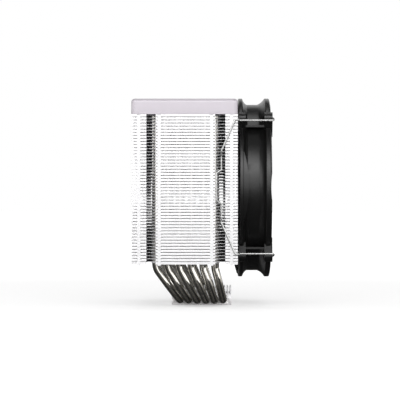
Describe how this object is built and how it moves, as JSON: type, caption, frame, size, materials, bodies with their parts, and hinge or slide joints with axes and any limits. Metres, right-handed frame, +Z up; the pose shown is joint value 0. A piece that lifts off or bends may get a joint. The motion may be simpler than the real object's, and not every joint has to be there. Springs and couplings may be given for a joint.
{
  "type": "cpu tower cooler",
  "caption": "Processor cooler: a tall stack of thin metal fins on bent heat pipes over a small base, with a round-framed fan held to its front by wire clips.",
  "frame": {"origin": "centre of the contact face, where the base meets the processor", "axes": "+Z up the tower, away from the processor; +X towards the fan; Y across the fins, symmetric side to side"},
  "size_m": [0.1087, 0.1482, 0.1614],
  "materials": {
    "nickel": "nickel-plated copper, fine milled",
    "pipe_nickel": "bright nickel plating on copper pipe",
    "base_aluminium": "milled, bright",
    "fin_aluminium": "rolled sheet, bright",
    "cover_satin": "satin, bead-blasted",
    "fan_plastic": "fine-textured black",
    "blade_plastic": "smooth black",
    "rubber": "soft matt black",
    "label": "plain film, blank",
    "circuit_board": "lacquered board",
    "washer_plastic": "natural nylon",
    "bronze": "oil-filled sintered bronze",
    "lamination": "stamped silicon steel",
    "copper_wire": "enamelled copper wire",
    "yoke_steel": "pressed steel",
    "magnet": "bonded ferrite",
    "shaft_steel": "ground steel",
    "spring_wire": "bright drawn spring wire"
  },
  "bodies": {
    "cooler": {"base_plate": "nickel", "base_block": "base_aluminium", "heat_pipe_1": "pipe_nickel", "heat_pipe_2": "pipe_nickel", "heat_pipe_3": "pipe_nickel", "heat_pipe_4": "pipe_nickel", "heat_pipe_5": "pipe_nickel", "heat_pipe_6": "pipe_nickel", "fins": "fin_aluminium", "top_cover": "cover_satin", "fan_frame": "fan_plastic", "cable_gland": "rubber", "fan_pad_1": "rubber", "fan_pad_2": "rubber", "fan_pad_3": "rubber", "fan_pad_4": "rubber", "motor_label": "label", "motor_board": "circuit_board", "thrust_washer": "washer_plastic", "bearing_sleeve": "bronze", "stator_core": "lamination", "stator_coil_1": "copper_wire", "stator_coil_2": "copper_wire", "stator_coil_3": "copper_wire", "stator_coil_4": "copper_wire"},
    "rotor": {"impeller": "blade_plastic", "rotor_yoke": "yoke_steel", "magnet_ring": "magnet", "fan_shaft": "shaft_steel", "shaft_retainer": "shaft_steel"},
    "near_clip": {"clip_near": "spring_wire"},
    "far_clip": {"clip_far": "spring_wire"}
  },
  "joints": [
    {"name": "fan_spin", "type": "hinge", "parent": "cooler", "child": "rotor", "pos_m": [0.02855, 0, 0.09144], "axis": [1, 0, 0], "continuous": true},
    {"name": "clip_near_swing", "type": "hinge", "parent": "cooler", "child": "near_clip", "pos_m": [0.055, -0.0525, 0.09144], "axis": [0, 0, 1], "range_deg": [0, 30]},
    {"name": "clip_far_swing", "type": "hinge", "parent": "cooler", "child": "far_clip", "pos_m": [0.055, 0.0525, 0.09144], "axis": [0, 0, -1], "range_deg": [0, 30]}
  ]
}
